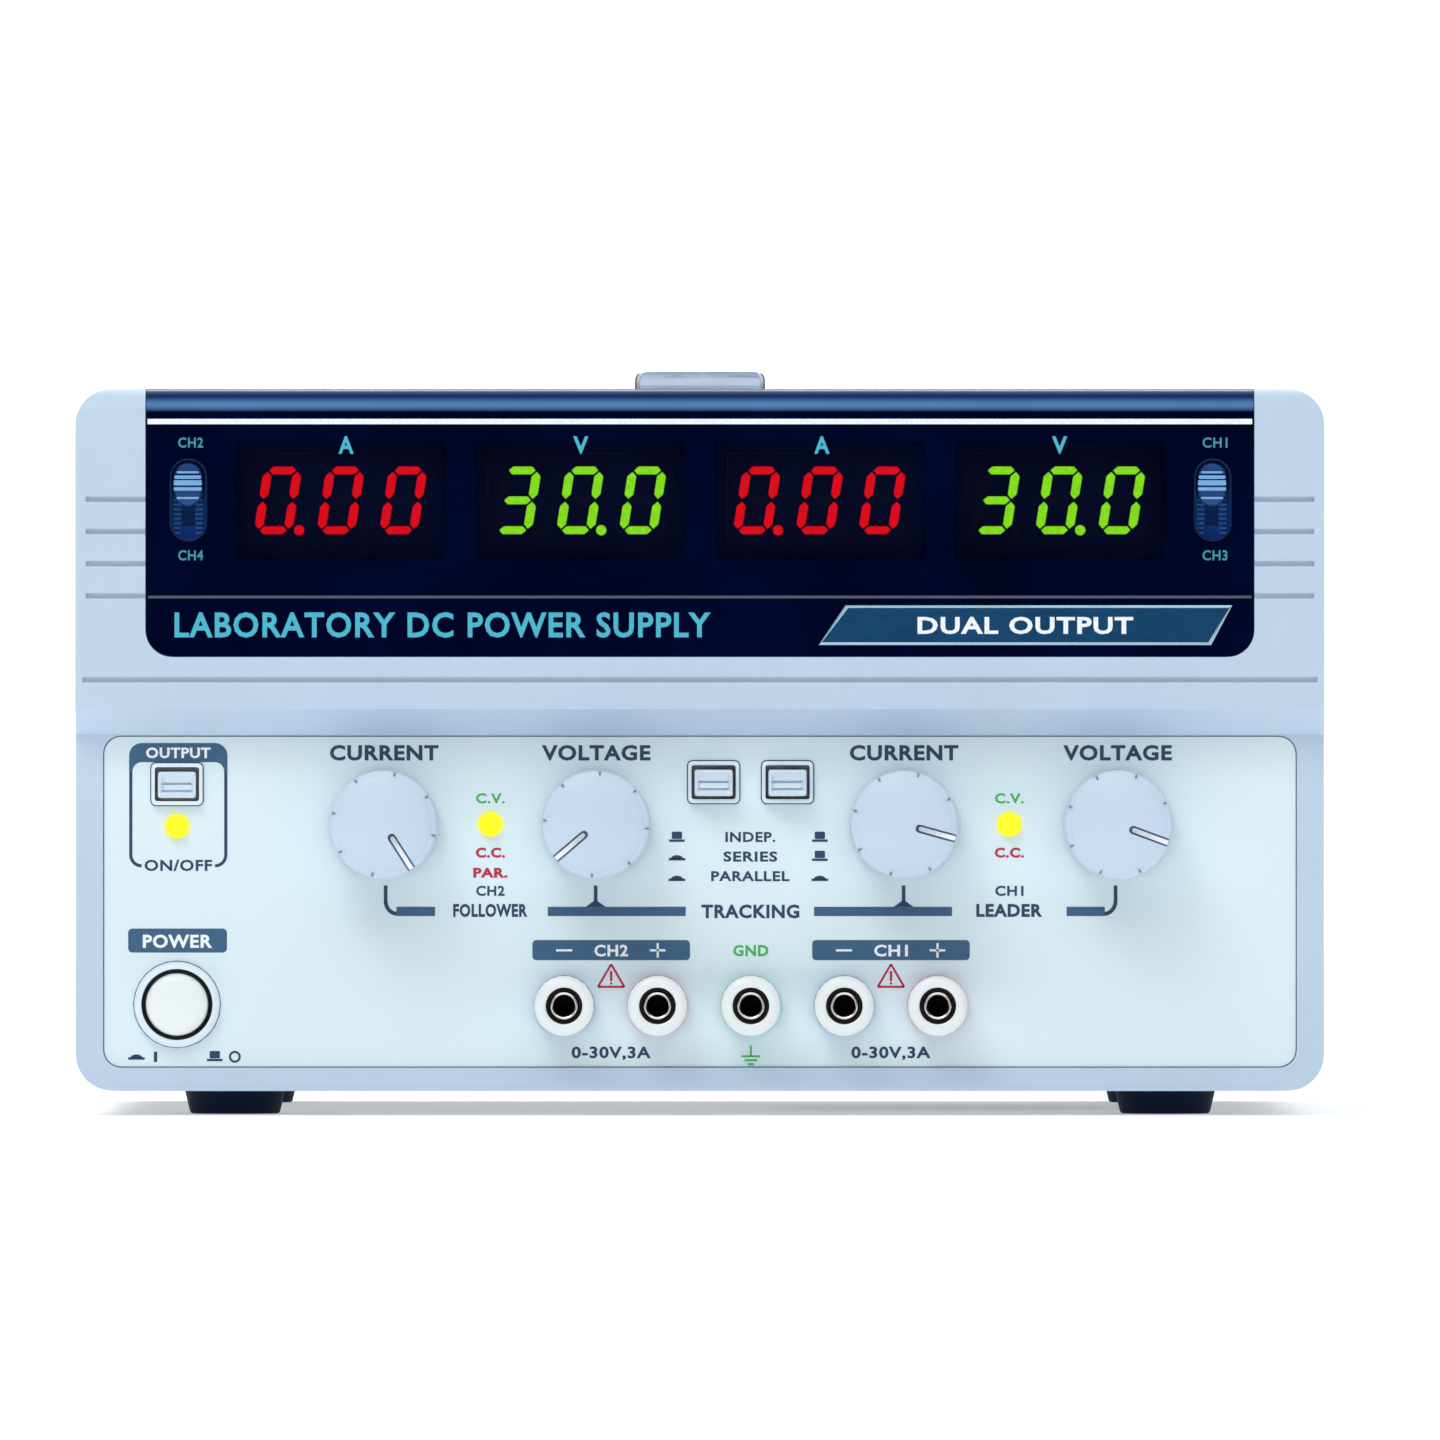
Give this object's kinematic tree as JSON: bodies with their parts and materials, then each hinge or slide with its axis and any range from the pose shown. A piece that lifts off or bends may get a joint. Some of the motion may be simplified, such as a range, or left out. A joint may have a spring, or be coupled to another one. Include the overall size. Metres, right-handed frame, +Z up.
{
  "type": "bench power supply",
  "caption": "Dual output linear laboratory power supply with digital meters, rotary controls, binding posts and strap handle.",
  "frame": {"origin": "middle of the bounding box at the plane that the feet stand on", "axes": "+X to the right as seen from the front, the controls face -Y, +Z up"},
  "size_m": [0.255, 0.2784, 0.1528],
  "materials": {
    "bezel_plastic": "fine moulded grain, satin",
    "panel_film": "satin printed film on a moulded plate",
    "smoked_window": "dark blue tinted acrylic, gloss",
    "navy_plastic": "satin",
    "button_bezel_plastic": "satin gloss",
    "led_lens": "diffused epoxy lens",
    "collar_blue": "moulded",
    "collar_red": "moulded",
    "collar_green": "moulded",
    "plated_brass": "turned and plated",
    "zinc_steel": "zinc plated",
    "black_plastic": "fine moulded grain",
    "circuit_board": "solder mask",
    "bright_metal": "stamped",
    "ivory_plastic": "nylon",
    "zinc_sheet": "plated sheet steel",
    "case_paint": "fine powder coat",
    "foot_rubber": "matt",
    "core_laminations": "stacked steel laminations",
    "copper_winding": "enamelled copper under tape",
    "capacitor_sleeve": "shrink sleeve",
    "black_aluminium": "black anodised",
    "chrome_trim": "polished",
    "strap_vinyl": "grained soft vinyl",
    "wire_jacket": "PVC sleeve",
    "ribbon_jacket": "grey flat cable",
    "button_plastic": "satin",
    "selector_plastic": "satin",
    "knob_plastic": "satin",
    "cap_plastic": "satin gloss with a black insert"
  },
  "bodies": {
    "case": {"front_bezel": "bezel_plastic", "control_panel": "panel_film", "display_window": "smoked_window", "selector_guides": "navy_plastic", "button_bezels": "button_bezel_plastic", "power_button_bezel": "button_bezel_plastic", "indicator_leds": "led_lens", "negative_post_collars": "collar_blue", "positive_post_collars": "collar_red", "ground_post_collar": "collar_green", "post_studs": "plated_brass", "post_nuts": "zinc_steel", "display_modules": "black_plastic", "display_board": "circuit_board", "control_board": "circuit_board", "potentiometers": "bright_metal", "push_switches": "ivory_plastic", "mains_switch": "black_plastic", "meter_selector_switches": "bright_metal", "chassis_pan": "zinc_sheet", "rear_panel": "case_paint", "top_cover": "case_paint", "case_screws": "zinc_steel", "feet": "foot_rubber", "transformer_core": "core_laminations", "transformer_windings": "copper_winding", "transformer_clamp": "zinc_sheet", "transformer_bolts": "zinc_steel", "main_board": "circuit_board", "filter_capacitors": "capacitor_sleeve", "rectifier_bridges": "black_plastic", "heat_sinks": "black_aluminium", "power_transistors": "black_plastic", "fan_frame": "black_plastic", "fan_guard": "zinc_steel", "ac_inlet": "black_plastic", "ac_inlet_pins": "plated_brass", "handle_caps": "chrome_trim", "strap_ends": "strap_vinyl", "board_standoffs": "ivory_plastic", "wiring_harness": "wire_jacket", "ribbon_cable": "ribbon_jacket"},
    "ch2_current_knob": {"ch2_current_knob": "knob_plastic"},
    "ch2_voltage_knob": {"ch2_voltage_knob": "knob_plastic"},
    "ch1_current_knob": {"ch1_current_knob": "knob_plastic"},
    "ch1_voltage_knob": {"ch1_voltage_knob": "knob_plastic"},
    "output_button": {"output_button": "button_plastic"},
    "tracking_button_left": {"tracking_button_left": "button_plastic"},
    "tracking_button_right": {"tracking_button_right": "button_plastic"},
    "power_button": {"power_button": "button_plastic"},
    "meter_selector_left": {"meter_selector_left": "selector_plastic"},
    "meter_selector_right": {"meter_selector_right": "selector_plastic"},
    "fan_rotor": {"fan_rotor": "black_plastic"},
    "fuse_drawer": {"fuse_drawer": "black_plastic"},
    "strap_grip": {"strap_grip": "strap_vinyl"},
    "ch2_negative_cap": {"ch2_negative_cap": "cap_plastic"},
    "ch2_positive_cap": {"ch2_positive_cap": "cap_plastic"},
    "ground_cap": {"ground_cap": "cap_plastic"},
    "ch1_negative_cap": {"ch1_negative_cap": "cap_plastic"},
    "ch1_positive_cap": {"ch1_positive_cap": "cap_plastic"}
  },
  "joints": [
    {"name": "ch2_current_turn", "type": "hinge", "parent": "case", "child": "ch2_current_knob", "pos_m": [-0.0645, -0.1392, 0.0595], "axis": [0, 1, 0], "range_deg": [-297.5, 2.5]},
    {"name": "ch2_voltage_turn", "type": "hinge", "parent": "case", "child": "ch2_voltage_knob", "pos_m": [-0.0212, -0.1392, 0.0595], "axis": [0, 1, 0], "range_deg": [-19.5, 280.5]},
    {"name": "ch1_current_turn", "type": "hinge", "parent": "case", "child": "ch1_current_knob", "pos_m": [0.0417, -0.1392, 0.0595], "axis": [0, 1, 0], "range_deg": [-255.5, 44.5]},
    {"name": "ch1_voltage_turn", "type": "hinge", "parent": "case", "child": "ch1_voltage_knob", "pos_m": [0.0853, -0.1392, 0.0595], "axis": [0, 1, 0], "range_deg": [-260.3, 39.7]},
    {"name": "output_press", "type": "slide", "parent": "case", "child": "output_button", "axis": [0, -1, 0], "range_m": [0, 0.0025]},
    {"name": "tracking_press_left", "type": "slide", "parent": "case", "child": "tracking_button_left", "axis": [0, 1, 0], "range_m": [0, 0.003], "stiffness_N_per_m": 300, "springref_m": -0.002},
    {"name": "tracking_press_right", "type": "slide", "parent": "case", "child": "tracking_button_right", "axis": [0, 1, 0], "range_m": [0, 0.003], "stiffness_N_per_m": 300, "springref_m": -0.002},
    {"name": "power_press", "type": "slide", "parent": "case", "child": "power_button", "axis": [0, -1, 0], "range_m": [0, 0.003]},
    {"name": "meter_select_left", "type": "slide", "parent": "case", "child": "meter_selector_left", "axis": [0, 0, -1], "range_m": [0, 0.0066]},
    {"name": "meter_select_right", "type": "slide", "parent": "case", "child": "meter_selector_right", "axis": [0, 0, -1], "range_m": [0, 0.0066]},
    {"name": "ch2_negative_unscrew", "type": "slide", "parent": "case", "child": "ch2_negative_cap", "axis": [0, -1, 0], "range_m": [0, 0.0045]},
    {"name": "ch2_positive_unscrew", "type": "slide", "parent": "case", "child": "ch2_positive_cap", "axis": [0, -1, 0], "range_m": [0, 0.0045]},
    {"name": "ground_unscrew", "type": "slide", "parent": "case", "child": "ground_cap", "axis": [0, -1, 0], "range_m": [0, 0.0045]},
    {"name": "ch1_negative_unscrew", "type": "slide", "parent": "case", "child": "ch1_negative_cap", "axis": [0, -1, 0], "range_m": [0, 0.0045]},
    {"name": "ch1_positive_unscrew", "type": "slide", "parent": "case", "child": "ch1_positive_cap", "axis": [0, -1, 0], "range_m": [0, 0.0045]},
    {"name": "fan_spin", "type": "hinge", "parent": "case", "child": "fan_rotor", "pos_m": [-0.062, 0.1202, 0.084], "axis": [0, 1, 0], "continuous": true},
    {"name": "fuse_drawer_slide", "type": "slide", "parent": "case", "child": "fuse_drawer", "axis": [0, 1, 0], "range_m": [0, 0.018]},
    {"name": "strap_lift", "type": "slide", "parent": "case", "child": "strap_grip", "axis": [0, 0, 1], "range_m": [0, 0.018], "stiffness_N_per_m": 400}
  ]
}
